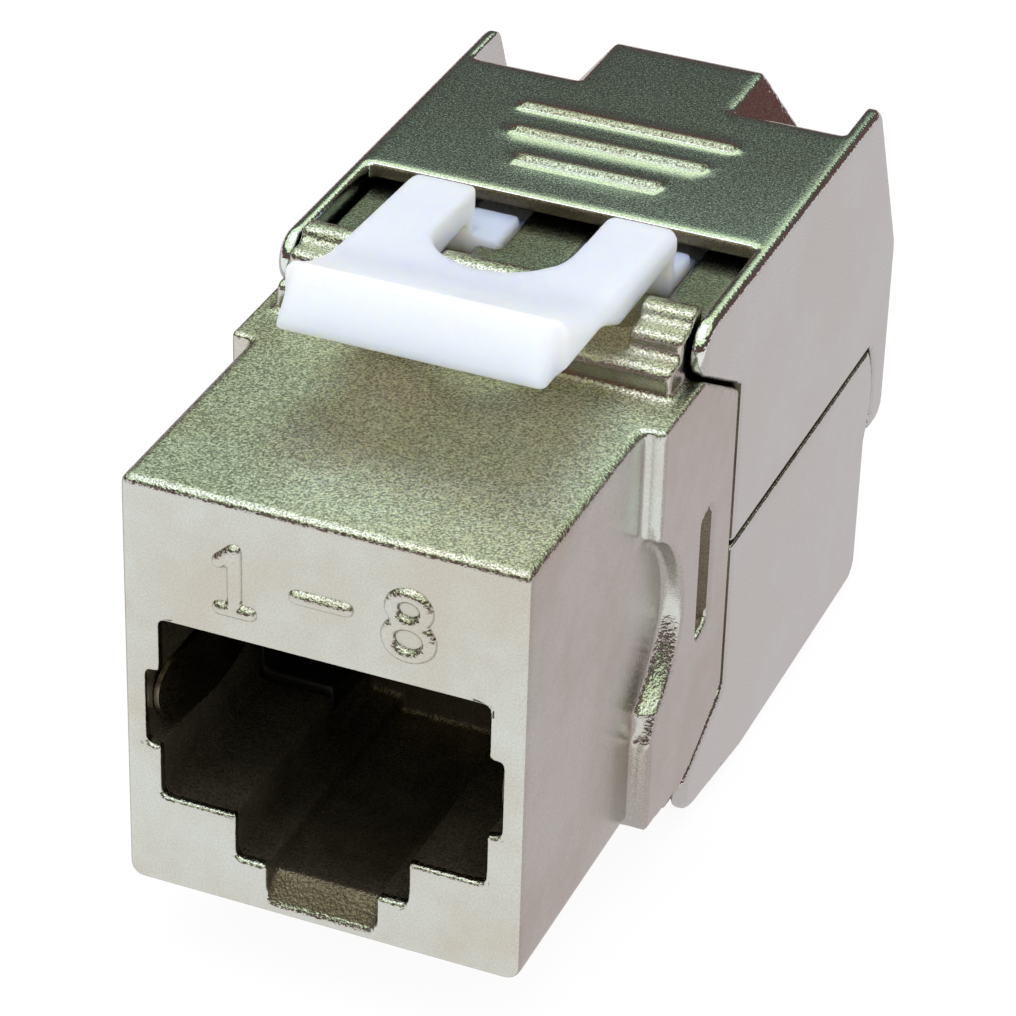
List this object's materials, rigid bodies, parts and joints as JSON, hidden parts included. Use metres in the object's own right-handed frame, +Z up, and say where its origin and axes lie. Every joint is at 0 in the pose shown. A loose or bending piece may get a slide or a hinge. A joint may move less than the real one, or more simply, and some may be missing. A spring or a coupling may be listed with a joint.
{
  "type": "keystone jack",
  "caption": "Shielded die-cast keystone network jack with a snap-in spring latch, hinged rear covers and an inner contact and wiring block",
  "frame": {"origin": "middle of the lower edge of the front block's face", "axes": "+X across the jack to the right seen from the front, +Y from the front face back to the cable, +Z up towards the latch"},
  "size_m": [0.016, 0.0354, 0.0237],
  "materials": {
    "plated_casting": "nickel-plated die casting, satin",
    "white_moulding": "white semi-gloss moulding",
    "black_moulding": "black moulding",
    "grey_moulding": "light grey moulding",
    "board": "green solder mask",
    "gold_contact": "gold-plated bronze",
    "tinned_contact": "tin-plated bronze",
    "spring_metal": "nickel-plated spring bronze"
  },
  "bodies": {
    "housing": {"front_housing": "plated_casting", "port_insert": "black_moulding", "contact_1": "gold_contact", "contact_2": "gold_contact", "contact_3": "gold_contact", "contact_4": "gold_contact", "contact_5": "gold_contact", "contact_6": "gold_contact", "contact_7": "gold_contact", "contact_8": "gold_contact", "shield_spring_left": "spring_metal", "shield_spring_right": "spring_metal", "circuit_board": "board", "idc_block": "grey_moulding", "idc_contact_1": "tinned_contact", "idc_contact_2": "tinned_contact", "idc_contact_3": "tinned_contact", "idc_contact_4": "tinned_contact", "idc_contact_5": "tinned_contact", "idc_contact_6": "tinned_contact", "idc_contact_7": "tinned_contact", "idc_contact_8": "tinned_contact", "wire_manager": "grey_moulding"},
    "upper_cover": {"upper_cover": "plated_casting"},
    "lower_cover": {"lower_cover": "plated_casting"},
    "latch": {"latch": "white_moulding"}
  },
  "joints": [
    {"name": "upper_cover_hinge", "type": "hinge", "parent": "housing", "child": "upper_cover", "pos_m": [0, 0.0145, 0.01708], "axis": [1, 0, 0], "range_deg": [0, 95]},
    {"name": "lower_cover_hinge", "type": "hinge", "parent": "housing", "child": "lower_cover", "pos_m": [0, 0.0151, -0.0012], "axis": [1, 0, 0], "range_deg": [-95, 0]},
    {"name": "latch_flex", "type": "hinge", "parent": "housing", "child": "latch", "pos_m": [0, 0.0182, 0.01735], "axis": [1, 0, 0], "range_deg": [0, 7], "stiffness_Nm_per_rad": 1.3}
  ],
  "couplings": [
    {"joint": "lower_cover_hinge", "follows": "upper_cover_hinge", "ratio": -1}
  ]
}
